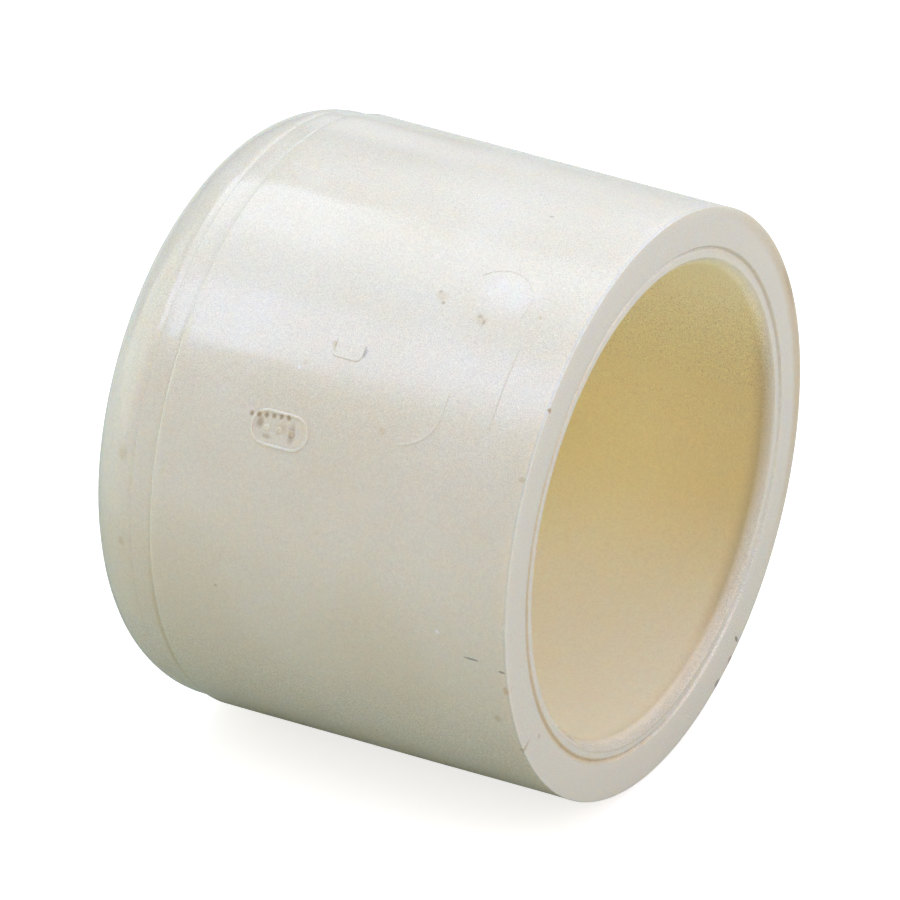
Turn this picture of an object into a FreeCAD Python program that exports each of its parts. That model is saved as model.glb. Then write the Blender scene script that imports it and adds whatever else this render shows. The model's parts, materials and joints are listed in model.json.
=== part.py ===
import FreeCAD, Part
import os
import Sketcher

# Socket pipe cap for 22 mm (3/4 in copper-tube-size) plastic pipe: one injection moulding.
# Millimetres. The cap lies on its side with its axis along X. The origin is the centre of the
# rim face, +X points out of the mouth, the closed crown is at -X, and +Z is up.

# Driving sizes: name, value, meaning.
SIZES = (
    ("pipe_diameter", 22.22, "outside of the pipe that the socket takes"),
    ("socket_clearance", 0.03, "radial gap round the pipe"),
    ("socket_depth", 17.8, "rim face to pipe stop"),
    ("socket_wall", 2.81, "wall round the socket at the rim"),
    ("barrel_draft", 0.55, "degrees the barrel widens from rim to seam"),
    ("stop_to_seam", 0.6, "pipe stop to the end of the barrel"),
    ("seam_step", 0.15, "how far the barrel stands proud of the crown"),
    ("seam_depth", 0.1, "depth of the seam groove under the crown's edge"),
    ("seam_width", 0.2, "length of the seam groove"),
    ("seam_round", 0.1, "round on the barrel's edge at the seam"),
    ("land_length", 0.9, "straight land from the seam groove to the crown's corner"),
    ("corner_round", 3.0, "outer corner between land and crown"),
    ("crown_radius", 38.0, "spherical radius of the closed end"),
    ("end_wall", 2.85, "wall of the closed end"),
    ("stop_width", 1.2, "width of the pipe stop ledge"),
    ("recess_round", 1.6, "inner corner behind the pipe stop"),
    ("rim_round", 0.15, "round on the rim's outer edge"),
    ("entry_chamfer", 0.4, "lead-in chamfer at the socket's mouth"),
    ("lip_width", 0.86, "band between the socket wall and the witness ring"),
    ("lip_setback", 0.05, "how far the band lies behind the rim face"),
    ("witness_width", 0.22, "width of the witness ring's groove"),
    ("witness_depth", 0.1, "depth of the witness ring's groove"),
    ("gate_radius", 2.2, "dimple round the moulding gate"),
    ("gate_depth", 0.3, "depth of that dimple"),
    ("gate_stub_radius", 0.9, "stub left where the gate was trimmed"),
    ("mark_station", 12.44, "rim face to the centre of the oval mark"),
    ("mark_angle", 63.0, "degrees from the top, round the near side, to the oval mark"),
    ("mark_length", 3.0, "oval mark along the axis"),
    ("mark_height", 1.75, "oval mark round the barrel"),
    ("mark_border", 0.22, "width of the oval's raised border"),
    ("mark_raise", 0.12, "how far the mark stands off the barrel"),
    ("dot_radius", 0.17, "radius of one raised dot"),
    ("dot_pitch", 0.62, "spacing of the dots"),
)

# Sizes that follow from the driving ones.
SOCKET_RADIUS = "(sizes.pipe_diameter / 2 + sizes.socket_clearance)"
RIM_RADIUS = f"({SOCKET_RADIUS} + sizes.socket_wall)"
LIP_RADIUS = f"({SOCKET_RADIUS} + sizes.lip_width)"
RECESS_RADIUS = f"({SOCKET_RADIUS} - sizes.stop_width)"
BARREL_LENGTH = "(sizes.socket_depth + sizes.stop_to_seam)"
DRAFT = "tan(sizes.barrel_draft * 1 deg)"
SEAM_RADIUS = f"({RIM_RADIUS} + {BARREL_LENGTH} * {DRAFT})"
CROWN_EDGE_RADIUS = f"({SEAM_RADIUS} - sizes.seam_step)"
SEAM_END = f"({BARREL_LENGTH} + sizes.seam_width)"
CORNER_START = f"({SEAM_END} + sizes.land_length)"
# The corner's round touches the crown's sphere from inside, so the line of centres gives the length.
CORNER_CENTRE_RADIUS = f"({CROWN_EDGE_RADIUS} - sizes.corner_round)"
CENTRES = f"(sizes.crown_radius - sizes.corner_round)"
CENTRE_GAP = f"sqrt({CENTRES} ^ 2 - {CORNER_CENTRE_RADIUS} ^ 2)"
OVERALL_LENGTH = f"({CORNER_START} + sizes.crown_radius - {CENTRE_GAP})"
FLOOR_DEPTH = f"({OVERALL_LENGTH} - sizes.end_wall)"
FLOOR_RADIUS = "(sizes.crown_radius - sizes.end_wall)"
FLOOR_EDGE = f"({FLOOR_DEPTH} - {FLOOR_RADIUS} + sqrt({FLOOR_RADIUS} ^ 2 - {RECESS_RADIUS} ^ 2))"
RECESS_ROUND = f"min(sizes.recess_round; 0.8 * ({FLOOR_EDGE} - sizes.socket_depth))"
MARK_RADIUS = f"({RIM_RADIUS} + sizes.mark_station * {DRAFT} + sizes.mark_raise)"
MARK_DEPTH = "(2 * sizes.mark_raise + sizes.mark_height ^ 2 / sizes.pipe_diameter)"

# Cutting profiles start this far outside the surface they cut.
LEAD = "1"
DOT_COUNT = 3


def size_sheet(doc):
    """The spreadsheet of driving sizes, one named cell each."""
    sheet = doc.addObject("Spreadsheet::Sheet", "sizes")
    for row, (name, value, meaning) in enumerate(SIZES, start=1):
        sheet.set(f"A{row}", name)
        sheet.set(f"B{row}", str(value))
        sheet.set(f"C{row}", meaning)
        sheet.setAlias(f"B{row}", name)
    doc.recompute()
    return sheet


def worked_out(sheet, expression):
    """The number that an expression gives now, for placing sketch geometry before it is bound."""
    result = sheet.evalExpression(expression)
    return float(getattr(result, "Value", result))


def plane_of(body, role):
    """One of the body's own origin planes."""
    return next(f for f in body.Origin.OriginFeatures if f.Role == role)


def new_sketch(body, name, role="XZ_Plane"):
    """A sketch on an origin plane; on XZ, x runs along the cap's axis and y is the radius."""
    sketch = body.newObject("Sketcher::SketchObject", name)
    sketch.AttachmentSupport = [(plane_of(body, role), "")]
    sketch.MapMode = "FlatFace"
    return sketch


def bind(sketch, name, expression, *constraint):
    """Add a named dimension to a sketch and bind it to an expression."""
    index = sketch.addConstraint(Sketcher.Constraint(*constraint))
    sketch.renameConstraint(index, name)
    sketch.setExpression(f"Constraints.{name}", expression)


def add_outline(sheet, sketch, corners):
    """Straight edges through (station, radius) corners, not closed; each corner is bound."""
    points = [
        FreeCAD.Vector(worked_out(sheet, x), worked_out(sheet, y), 0) for x, y in corners
    ]
    for start, end in zip(points, points[1:]):
        sketch.addGeometry(Part.LineSegment(start, end))
    last = len(points) - 2
    for line in range(last):
        sketch.addConstraint(Sketcher.Constraint("Coincident", line, 2, line + 1, 1))
    for number, (x, y) in enumerate(corners):
        line, end = (number, 1) if number <= last else (last, 2)
        place_point(sheet, sketch, f"corner_{number}", line, end, x, y)
    return last


def place_point(sheet, sketch, name, line, end, x, y):
    """Bind a point's station and radius; a zero ties it to the sketch's own axis."""
    for letter, axis, kind, expression in (
        ("x", -2, "DistanceX", x),
        ("y", -1, "DistanceY", y),
    ):
        value = worked_out(sheet, expression)
        if expression == "0":
            sketch.addConstraint(Sketcher.Constraint("PointOnObject", line, end, axis))
        elif value >= 0:
            bind(sketch, f"{name}_{letter}", expression, kind, -1, 1, line, end, value)
        else:
            bind(sketch, f"{name}_{letter}", f"-({expression})", kind, line, end, -1, 1, -value)


def close_outline(sketch, last):
    """Join the open ends of an outline with one straight edge."""
    start = sketch.getPoint(last, 2)
    end = sketch.getPoint(0, 1)
    line = sketch.addGeometry(Part.LineSegment(start, end))
    sketch.addConstraint(Sketcher.Constraint("Coincident", last, 2, line, 1))
    sketch.addConstraint(Sketcher.Constraint("Coincident", line, 2, 0, 1))


def arc_between(centre, start, end):
    """An arc as the sketcher stores it, anticlockwise from start to end."""
    circle = Part.Circle(centre, FreeCAD.Vector(0, 0, 1), (start - centre).Length)
    return Part.ArcOfCircle(circle, circle.parameter(start), circle.parameter(end))


def turn(body, kind, name, sketch):
    """Revolve a sketch a full turn about the cap's axis, as a Revolution or a Groove."""
    feature = body.newObject(kind, name)
    feature.Profile = sketch
    feature.ReferenceAxis = (sketch, ["H_Axis"])
    feature.Angle = 360
    sketch.Visibility = False
    return feature


def edges_at(sheet, body, base, places):
    """The circular edges of base at the given (station, radius) places, as names."""
    body.Document.recompute()
    wanted = [(worked_out(sheet, x), worked_out(sheet, r)) for x, r in places]
    edges = []
    for number, edge in enumerate(base.Shape.Edges, start=1):
        if edge.Degenerated or not isinstance(edge.Curve, Part.Circle):
            continue
        for x, r in wanted:
            centre = edge.Curve.Center
            if abs(centre.x - x) < 1e-4 and abs(edge.Curve.Radius - r) < 1e-4:
                edges.append(f"Edge{number}")
    if len(edges) < len(wanted):
        raise RuntimeError(f"{base.Name}: an edge at {wanted} was not found")
    return edges


def rounded(sheet, body, name, base, radius, places):
    """Fillet the edges of base at the given places."""
    edges = edges_at(sheet, body, base, places)
    fillet = body.newObject("PartDesign::Fillet", name)
    fillet.Base = (base, edges)
    fillet.setExpression("Radius", radius)
    return fillet


def chamfered(sheet, body, name, base, size, places):
    """Chamfer the edges of base at the given places, at 45 degrees."""
    edges = edges_at(sheet, body, base, places)
    chamfer = body.newObject("PartDesign::Chamfer", name)
    chamfer.Base = (base, edges)
    chamfer.setExpression("Size", size)
    return chamfer


def outer_form(sheet, body):
    """The solid outside: drafted barrel, seam groove, land, corner and crown."""
    sketch = new_sketch(body, "outer_profile")
    corners = (
        ("0", "0"),
        ("0", RIM_RADIUS),
        (f"-{BARREL_LENGTH}", SEAM_RADIUS),
        (f"-{BARREL_LENGTH}", f"{CROWN_EDGE_RADIUS} - sizes.seam_depth"),
        (f"-{SEAM_END}", CROWN_EDGE_RADIUS),
        (f"-{CORNER_START}", CROWN_EDGE_RADIUS),
    )
    land = add_outline(sheet, sketch, corners)

    corner_centre = FreeCAD.Vector(
        -worked_out(sheet, CORNER_START), worked_out(sheet, CORNER_CENTRE_RADIUS), 0
    )
    crown_centre = FreeCAD.Vector(
        worked_out(sheet, f"sizes.crown_radius - {OVERALL_LENGTH}"), 0, 0
    )
    towards_corner = (corner_centre - crown_centre).normalize()
    meeting = crown_centre + towards_corner * worked_out(sheet, "sizes.crown_radius")
    pole = FreeCAD.Vector(-worked_out(sheet, OVERALL_LENGTH), 0, 0)
    land_end = sketch.getPoint(land, 2)
    corner = sketch.addGeometry(arc_between(corner_centre, land_end, meeting))
    crown = sketch.addGeometry(arc_between(crown_centre, meeting, pole))
    axis_line = sketch.addGeometry(Part.LineSegment(pole, FreeCAD.Vector(0, 0, 0)))
    for constraint in (
        ("Tangent", land, 2, corner, 1),
        ("Tangent", corner, 2, crown, 1),
        ("PointOnObject", crown, 3, -1),
        ("Coincident", crown, 2, axis_line, 1),
        ("PointOnObject", crown, 2, -1),
        ("Coincident", axis_line, 2, 0, 1),
    ):
        sketch.addConstraint(Sketcher.Constraint(*constraint))
    corner_round = worked_out(sheet, "sizes.corner_round")
    crown_radius = worked_out(sheet, "sizes.crown_radius")
    bind(sketch, "corner_round", "sizes.corner_round", "Radius", corner, corner_round)
    bind(sketch, "crown_radius", "sizes.crown_radius", "Radius", crown, crown_radius)
    return turn(body, "PartDesign::Revolution", "outer_form", sketch)


def socket(sheet, body):
    """The straight socket that the pipe slides into, down to the pipe stop."""
    sketch = new_sketch(body, "socket_profile")
    corners = (
        (LEAD, "0"),
        (LEAD, SOCKET_RADIUS),
        ("-sizes.socket_depth", SOCKET_RADIUS),
        ("-sizes.socket_depth", "0"),
    )
    close_outline(sketch, add_outline(sheet, sketch, corners))
    return turn(body, "PartDesign::Groove", "socket", sketch)


def recess(sheet, body):
    """The shallow recess behind the pipe stop; its floor runs parallel to the crown."""
    sketch = new_sketch(body, "recess_profile")
    corners = (
        ("-sizes.socket_depth", "0"),
        ("-sizes.socket_depth", RECESS_RADIUS),
        (f"-{FLOOR_EDGE}", RECESS_RADIUS),
    )
    wall = add_outline(sheet, sketch, corners)
    centre = FreeCAD.Vector(worked_out(sheet, f"{FLOOR_RADIUS} - {FLOOR_DEPTH}"), 0, 0)
    pole = FreeCAD.Vector(-worked_out(sheet, FLOOR_DEPTH), 0, 0)
    floor = sketch.addGeometry(arc_between(centre, sketch.getPoint(wall, 2), pole))
    axis_line = sketch.addGeometry(Part.LineSegment(pole, sketch.getPoint(0, 1)))
    for constraint in (
        ("Coincident", wall, 2, floor, 1),
        ("PointOnObject", floor, 3, -1),
        ("PointOnObject", floor, 2, -1),
        ("Coincident", floor, 2, axis_line, 1),
        ("Coincident", axis_line, 2, 0, 1),
    ):
        sketch.addConstraint(Sketcher.Constraint(*constraint))
    bind(sketch, "floor", FLOOR_RADIUS, "Radius", floor, worked_out(sheet, FLOOR_RADIUS))
    groove = turn(body, "PartDesign::Groove", "recess", sketch)
    edge = ((f"-{FLOOR_EDGE}", RECESS_RADIUS),)
    return rounded(sheet, body, "recess_corner", groove, RECESS_ROUND, edge)


def lip(sheet, body):
    """The set-back band round the mouth and the fine witness ring that bounds it."""
    sketch = new_sketch(body, "lip_profile")
    inside = f"{SOCKET_RADIUS} - {LEAD}"
    corners = (
        (LEAD, inside),
        ("-sizes.lip_setback", inside),
        ("-sizes.lip_setback", f"{LIP_RADIUS} - sizes.witness_width / 2"),
        ("-sizes.witness_depth", LIP_RADIUS),
        ("0", f"{LIP_RADIUS} + sizes.witness_width / 2"),
        (LEAD, f"{LIP_RADIUS} + sizes.witness_width / 2"),
    )
    close_outline(sketch, add_outline(sheet, sketch, corners))
    return turn(body, "PartDesign::Groove", "lip", sketch)


def soft_edges(sheet, body, base):
    """The small rounds on the rim and the barrel's edge at the seam, and the socket's lead-in."""
    rim = rounded(sheet, body, "rim_edge", base, "sizes.rim_round", (("0", RIM_RADIUS),))
    entry = chamfered(
        sheet, body, "entry_edge", rim, "sizes.entry_chamfer",
        (("-sizes.lip_setback", SOCKET_RADIUS),),
    )
    return rounded(
        sheet, body, "seam_edge", entry, "sizes.seam_round",
        ((f"-{BARREL_LENGTH}", SEAM_RADIUS),),
    )


def gate(sheet, body):
    """The dimple in the crown, round the stub where the moulding gate was trimmed."""
    sketch = new_sketch(body, "gate_profile")
    outside = f"-({OVERALL_LENGTH} + {LEAD})"
    bottom = f"-({OVERALL_LENGTH} - sizes.gate_depth)"
    corners = (
        (outside, "sizes.gate_stub_radius"),
        (bottom, "sizes.gate_stub_radius"),
        (bottom, "sizes.gate_radius"),
        (outside, "sizes.gate_radius"),
    )
    close_outline(sketch, add_outline(sheet, sketch, corners))
    return turn(body, "PartDesign::Groove", "gate", sketch)


def mark_sketch(body, name):
    """A sketch on a plane just off the barrel, at the oval mark's centre."""
    sketch = new_sketch(body, name, "XY_Plane")
    offset = "AttachmentOffset"
    sketch.AttachmentOffset = FreeCAD.Placement(
        FreeCAD.Vector(), FreeCAD.Rotation(FreeCAD.Vector(1, 0, 0), 0)
    )
    angle = "sizes.mark_angle * 1 deg"
    sketch.setExpression(f"{offset}.Rotation.Angle", angle)
    sketch.setExpression(f"{offset}.Base.x", "-sizes.mark_station")
    sketch.setExpression(f"{offset}.Base.y", f"-{MARK_RADIUS} * sin({angle})")
    sketch.setExpression(f"{offset}.Base.z", f"{MARK_RADIUS} * cos({angle})")
    return sketch


def raise_mark(body, name, sketch):
    """Pad a mark's outline inwards, into the barrel's wall."""
    pad = body.newObject("PartDesign::Pad", name)
    pad.Profile = sketch
    pad.setExpression("Length", MARK_DEPTH)
    pad.Reversed = True
    sketch.Visibility = False
    return pad


def add_oval(sheet, sketch, name, length, height):
    """An ellipse centred on the sketch, bound by its half lengths."""
    major = worked_out(sheet, f"({length}) / 2")
    minor = worked_out(sheet, f"({height}) / 2")
    centre = FreeCAD.Vector(0, 0, 0)
    ellipse = Part.Ellipse(FreeCAD.Vector(major, 0, 0), FreeCAD.Vector(0, minor, 0), centre)
    curve = sketch.addGeometry(ellipse)
    sketch.exposeInternalGeometry(curve)
    long_axis, short_axis = curve + 1, curve + 2
    sketch.addConstraint(Sketcher.Constraint("Coincident", curve, 3, -1, 1))
    sketch.addConstraint(Sketcher.Constraint("Horizontal", long_axis))
    bind(sketch, f"{name}_length", length, "Distance", long_axis, 2 * major)
    bind(sketch, f"{name}_height", height, "Distance", short_axis, 2 * minor)


def oval_mark(sheet, body):
    """A plain raised oval border with a row of raised dots: a generic mould mark."""
    border = mark_sketch(body, "border_outline")
    add_oval(sheet, border, "outer", "sizes.mark_length", "sizes.mark_height")
    add_oval(
        sheet, border, "inner",
        "sizes.mark_length - 2 * sizes.mark_border",
        "sizes.mark_height - 2 * sizes.mark_border",
    )
    raise_mark(body, "mark_border", border)

    dots = mark_sketch(body, "dot_outline")
    radius = worked_out(sheet, "sizes.dot_radius")
    for number in range(DOT_COUNT):
        step = number - (DOT_COUNT - 1) / 2
        place = f"{step} * sizes.dot_pitch"
        centre = FreeCAD.Vector(worked_out(sheet, place), 0, 0)
        dot = dots.addGeometry(Part.Circle(centre, FreeCAD.Vector(0, 0, 1), radius))
        bind(dots, f"dot_{number}_radius", "sizes.dot_radius", "Radius", dot, radius)
        if step == 0:
            dots.addConstraint(Sketcher.Constraint("Coincident", dot, 3, -1, 1))
        else:
            place_point(sheet, dots, f"dot_{number}", dot, 3, place, "0")
    return raise_mark(body, "mark_dots", dots)


def cap_body(doc, sheet):
    """The whole moulding."""
    body = doc.addObject("PartDesign::Body", "cap_body")
    body.Label = "cap_body"
    outer_form(sheet, body)
    socket(sheet, body)
    recess(sheet, body)
    base = lip(sheet, body)
    soft_edges(sheet, body, base)
    gate(sheet, body)
    body.Tip = oval_mark(sheet, body)
    doc.recompute()
    return body


def check(doc, bodies):
    """Stop before anything is written if a feature failed or a shape is unsound."""
    for item in doc.Objects:
        for state in ("Invalid", "Error"):
            if state in item.State:
                raise RuntimeError(f"{item.Name} is {state}: {item.getStatusString()}")
    for item in doc.Objects:
        if item.isDerivedFrom("PartDesign::Groove"):
            if item.Shape.Volume > item.BaseFeature.Shape.Volume - 1e-4:
                raise RuntimeError(f"{item.Name} cut nothing")
    for body in bodies:
        if body.Shape.isNull() or not body.Shape.isValid() or len(body.Shape.Solids) != 1:
            raise RuntimeError(f"{body.Label} is not one sound solid")


def main():
    doc = FreeCAD.newDocument("pipe_cap")
    sheet = size_sheet(doc)
    bodies = [cap_body(doc, sheet)]
    check(doc, bodies)
    os.makedirs("parts", exist_ok=True)
    for body in bodies:
        body.Shape.exportStep(f"parts/{body.Label}.step")
        box = body.Shape.optimalBoundingBox(True, False)
        print(
            f"{body.Label}: {box.XLength:.3f} x {box.YLength:.3f} x {box.ZLength:.3f} mm,"
            f" {body.Shape.Volume:.1f} mm3"
        )


main()
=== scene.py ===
"""The looks of a push-on plastic pipe cap: one moulding in ivory plastic, lying on its side."""
import json
import math

import bpy
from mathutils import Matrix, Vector

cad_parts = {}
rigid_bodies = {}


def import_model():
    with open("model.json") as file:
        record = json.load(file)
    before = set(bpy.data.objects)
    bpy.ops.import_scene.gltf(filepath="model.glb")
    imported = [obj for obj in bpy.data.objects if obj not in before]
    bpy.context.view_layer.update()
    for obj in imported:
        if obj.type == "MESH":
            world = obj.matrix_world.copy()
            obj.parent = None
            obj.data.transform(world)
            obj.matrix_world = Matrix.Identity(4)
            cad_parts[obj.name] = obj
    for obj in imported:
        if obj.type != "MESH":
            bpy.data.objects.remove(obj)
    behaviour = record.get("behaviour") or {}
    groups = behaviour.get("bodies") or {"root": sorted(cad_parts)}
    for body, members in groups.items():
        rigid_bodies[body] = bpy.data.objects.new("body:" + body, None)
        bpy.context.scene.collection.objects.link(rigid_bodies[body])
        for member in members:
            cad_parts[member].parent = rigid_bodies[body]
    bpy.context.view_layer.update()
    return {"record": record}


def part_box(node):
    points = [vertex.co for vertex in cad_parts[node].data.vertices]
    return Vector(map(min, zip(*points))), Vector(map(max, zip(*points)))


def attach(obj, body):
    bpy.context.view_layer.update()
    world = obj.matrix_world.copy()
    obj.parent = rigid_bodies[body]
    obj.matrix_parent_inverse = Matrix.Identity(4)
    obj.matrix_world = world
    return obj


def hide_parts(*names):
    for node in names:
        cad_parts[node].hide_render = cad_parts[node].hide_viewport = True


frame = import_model()

# ---------------------------------------------------------------- sizes, in metres and radians
MM = 0.001
FULL_TURN = 2 * math.pi
X_AXIS = (1.0, 0.0, 0.0)

mounts = {mount["name"]: mount for mount in frame["record"]["mounts"]}
body_low, body_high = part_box("cap_body")

# The cap's axis is X. The rim's flat face is at X = 0, and the closed end is at the lowest X.
CAP_LENGTH = -body_low.x
SEAM_RADIUS = min(body_high.z, -body_low.z)
SOCKET_RADIUS = mounts["socket"]["dims"]["r_mm"] * MM

BARREL_DRAFT = math.radians(0.55)
SOCKET_DEPTH = 17.8 * MM
STOP_TO_SEAM = 0.6 * MM
BARREL_LENGTH = SOCKET_DEPTH + STOP_TO_SEAM
RIM_RADIUS = SEAM_RADIUS - BARREL_LENGTH * math.tan(BARREL_DRAFT)

SEAM_STEP = 0.15 * MM
SEAM_DEPTH = 0.04 * MM
SEAM_WIDTH = 0.2 * MM
SEAM_ROUND = 0.1 * MM
SEAM_FLOOR_ROUND = 0.03 * MM
SEAM_FAR_ROUND = 0.05 * MM
LAND_LENGTH = 0.9 * MM
LAND_STEP = 0.03 * MM
LAND_ROUND = 0.02 * MM
CROWN_EDGE_RADIUS = SEAM_RADIUS - SEAM_STEP
SEAM_END = BARREL_LENGTH + SEAM_WIDTH
CORNER_START = SEAM_END + LAND_LENGTH
CORNER_ROUND = 3.0 * MM
CROWN_RADIUS = 38.0 * MM
END_WALL = 2.85 * MM
STOP_WIDTH = 1.2 * MM
STOP_ROUND = 0.15 * MM
RECESS_RADIUS = SOCKET_RADIUS - STOP_WIDTH
RECESS_ROUND = 1.6 * MM
FLOOR_RADIUS = CROWN_RADIUS - END_WALL
FLOOR_DEPTH = CAP_LENGTH - END_WALL

RIM_ROUND = 0.05 * MM
ENTRY_CHAMFER = 0.4 * MM
ENTRY_ROUND = 0.3 * MM
MOUTH_RADIUS = SOCKET_RADIUS + ENTRY_CHAMFER
MOUTH_ROUND = 0.08 * MM
LIP_WIDTH = 0.86 * MM
LIP_RADIUS = SOCKET_RADIUS + LIP_WIDTH
LIP_SETBACK = 0.05 * MM
RING_WIDTH = 0.22 * MM
RING_DEPTH = 0.13 * MM
RING_EDGE_ROUND = 0.04 * MM
RING_FLOOR_ROUND = 0.03 * MM

GATE_RADIUS = 2.2 * MM
GATE_DEPTH = 0.3 * MM
GATE_EDGE_ROUND = 0.1 * MM
GATE_FLOOR_ROUND = 0.15 * MM
GATE_STUB_RADIUS = 0.9 * MM
GATE_STUB_SUNK = 0.06 * MM
GATE_STUB_RISE = 0.04 * MM
GATE_STUB_ROUND = 0.05 * MM
GATE_STUB_FOOT_ROUND = 0.1 * MM

SPIN_STEPS = 256
CROWN_STEPS = 24
CORNER_STEPS = 20
FLOOR_STEPS = 20
LONGEST_RUN = 0.6 * MM
SAME_PLACE = 0.0001 * MM


# ---------------------------------------------------------------- tools of the trade
def drop_selection():
    """Deselects everything."""
    for item in bpy.context.view_layer.objects:
        item.select_set(False)


def hold(piece):
    """Selects one piece alone and makes it the active one."""
    drop_selection()
    piece.select_set(True)
    bpy.context.view_layer.objects.active = piece


def settle(piece):
    """Puts the piece's place into its mesh, so that its object sits unturned at the origin."""
    hold(piece)
    bpy.ops.object.transform_apply(location=True, rotation=True, scale=True)


def pick(piece, parts, wanted):
    """In edit mode, selects the vertices, edges or faces that pass the test, and counts them."""
    kind = {"vertices": "VERT", "edges": "EDGE", "polygons": "FACE"}[parts]
    bpy.ops.mesh.select_mode(type=kind)
    bpy.ops.mesh.select_all(action="DESELECT")
    bpy.ops.object.mode_set(mode="OBJECT")
    found = 0
    for part in getattr(piece.data, parts):
        part.select = wanted(part)
        found += part.select
    bpy.ops.object.mode_set(mode="EDIT")
    return found


def finish_with(piece, kind, **settings):
    """Adds a modifier and applies it at once."""
    hold(piece)
    modifier = piece.modifiers.new(kind.lower(), kind)
    for name, value in settings.items():
        setattr(modifier, name, value)
    bpy.ops.object.modifier_apply(modifier=modifier.name)


def section_point(station, radius):
    """A point of the half section: its station is its distance from the rim's face, into the cap."""
    return Vector((-station, 0.0, radius))


def arc(centre_station, centre_radius, radius, start, end, steps):
    """Corners along an arc of the half section; angles run from the axis of the closed end."""
    turns = [start + (end - start) * step / steps for step in range(steps + 1)]
    return [
        (centre_station + radius * math.cos(turn), centre_radius + radius * math.sin(turn), 0, 0)
        for turn in turns
    ]


def run_length(piece, edge):
    """How long an edge of the piece is."""
    ends = [piece.data.vertices[number].co for number in edge.vertices]
    return (ends[0] - ends[1]).length


def lathe(name, corners):
    """Draws a half section, rounds its corners, splits its long runs and spins it.

    Each corner is its station, its radius, the radius that rounds it and the steps of that round.
    """
    spots = [section_point(station, radius) for station, radius, _, _ in corners]
    bpy.ops.mesh.primitive_plane_add(size=MM, location=spots[0])
    piece = bpy.context.object
    piece.name = name
    settle(piece)
    bpy.ops.object.mode_set(mode="EDIT")
    bpy.ops.mesh.merge(type="CENTER")
    for here, there in zip(spots, spots[1:]):
        bpy.ops.mesh.extrude_region_move(TRANSFORM_OT_translate={"value": there - here})
    for number, (_, _, round_radius, steps) in enumerate(corners):
        if round_radius:
            before, corner, after = spots[number - 1 : number + 2]
            offset = round_radius * math.tan((corner - before).angle(after - corner) / 2)
            pick(piece, "vertices", lambda point: (point.co - corner).length < SAME_PLACE)
            bpy.ops.mesh.bevel(offset=offset, segments=steps, affect="VERTICES")
    while pick(piece, "edges", lambda edge: run_length(piece, edge) > LONGEST_RUN):
        bpy.ops.mesh.subdivide(number_cuts=1)
    bpy.ops.mesh.select_all(action="SELECT")
    bpy.ops.mesh.spin(steps=SPIN_STEPS, angle=FULL_TURN, center=(0, 0, 0), axis=X_AXIS)
    bpy.ops.mesh.select_all(action="SELECT")
    bpy.ops.mesh.remove_doubles(threshold=SAME_PLACE)
    bpy.ops.mesh.normals_make_consistent(inside=False)
    bpy.ops.object.mode_set(mode="OBJECT")
    bpy.ops.object.shade_smooth()
    return piece


# ---------------------------------------------------------------- the moulding
def crown_outline():
    """The closed end from the outside: gate stub, gate dimple, domed crown and its rounded corner."""
    crown_centre = CAP_LENGTH - CROWN_RADIUS
    corner_centre = (CORNER_START, CROWN_EDGE_RADIUS - CORNER_ROUND)
    meeting = math.atan2(corner_centre[1], corner_centre[0] - crown_centre)
    gate_turn = math.asin(GATE_RADIUS / CROWN_RADIUS)
    dimple_floor = CAP_LENGTH - GATE_DEPTH
    stub_top = CAP_LENGTH - GATE_STUB_SUNK
    crown = arc(crown_centre, 0, CROWN_RADIUS, gate_turn, meeting, CROWN_STEPS)
    corner = arc(*corner_centre, CORNER_ROUND, meeting, math.pi / 2, CORNER_STEPS)
    crown[0] = crown[0][:2] + (GATE_EDGE_ROUND, 3)
    return [
        (stub_top, 0, 0, 0),
        (stub_top + GATE_STUB_RISE, GATE_STUB_RADIUS, GATE_STUB_ROUND, 2),
        (dimple_floor, GATE_STUB_RADIUS, GATE_STUB_FOOT_ROUND, 3),
        (dimple_floor, GATE_RADIUS, GATE_FLOOR_ROUND, 4),
        *crown[:-1],
        *corner[:-1],
        (CORNER_START, CROWN_EDGE_RADIUS - LAND_STEP, 0, 0),
        (CORNER_START - LAND_STEP, CROWN_EDGE_RADIUS, LAND_ROUND, 2),
    ]


def barrel_outline():
    """The seam groove, the drafted barrel, and the rim with its ring, set-back lip and lead-in."""
    return [
        (SEAM_END, CROWN_EDGE_RADIUS, SEAM_FAR_ROUND, 3),
        (BARREL_LENGTH, CROWN_EDGE_RADIUS - SEAM_DEPTH, SEAM_FLOOR_ROUND, 2),
        (BARREL_LENGTH, SEAM_RADIUS, SEAM_ROUND, 4),
        (0, RIM_RADIUS, RIM_ROUND, 6),
        (0, LIP_RADIUS + RING_WIDTH / 2, RING_EDGE_ROUND, 3),
        (RING_DEPTH, LIP_RADIUS, RING_FLOOR_ROUND, 3),
        (LIP_SETBACK, LIP_RADIUS - RING_WIDTH / 2, RING_EDGE_ROUND, 3),
        (LIP_SETBACK, MOUTH_RADIUS, MOUTH_ROUND, 4),
        (LIP_SETBACK + ENTRY_CHAMFER, SOCKET_RADIUS, ENTRY_ROUND, 4),
    ]


def inside_outline():
    """The straight socket, the pipe stop and the recess behind it."""
    floor_centre = FLOOR_DEPTH - FLOOR_RADIUS
    floor_edge = math.asin(RECESS_RADIUS / FLOOR_RADIUS)
    floor = arc(floor_centre, 0, FLOOR_RADIUS, floor_edge, 0, FLOOR_STEPS)
    taken_by_round = 6
    return [
        (SOCKET_DEPTH, SOCKET_RADIUS, STOP_ROUND, 4),
        (SOCKET_DEPTH, RECESS_RADIUS, STOP_ROUND, 4),
        floor[0][:2] + (RECESS_ROUND, 10),
        *floor[taken_by_round:],
    ]


shell = lathe("cap_shell", crown_outline() + barrel_outline() + inside_outline())
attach(shell, "root")
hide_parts("cap_body")


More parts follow.
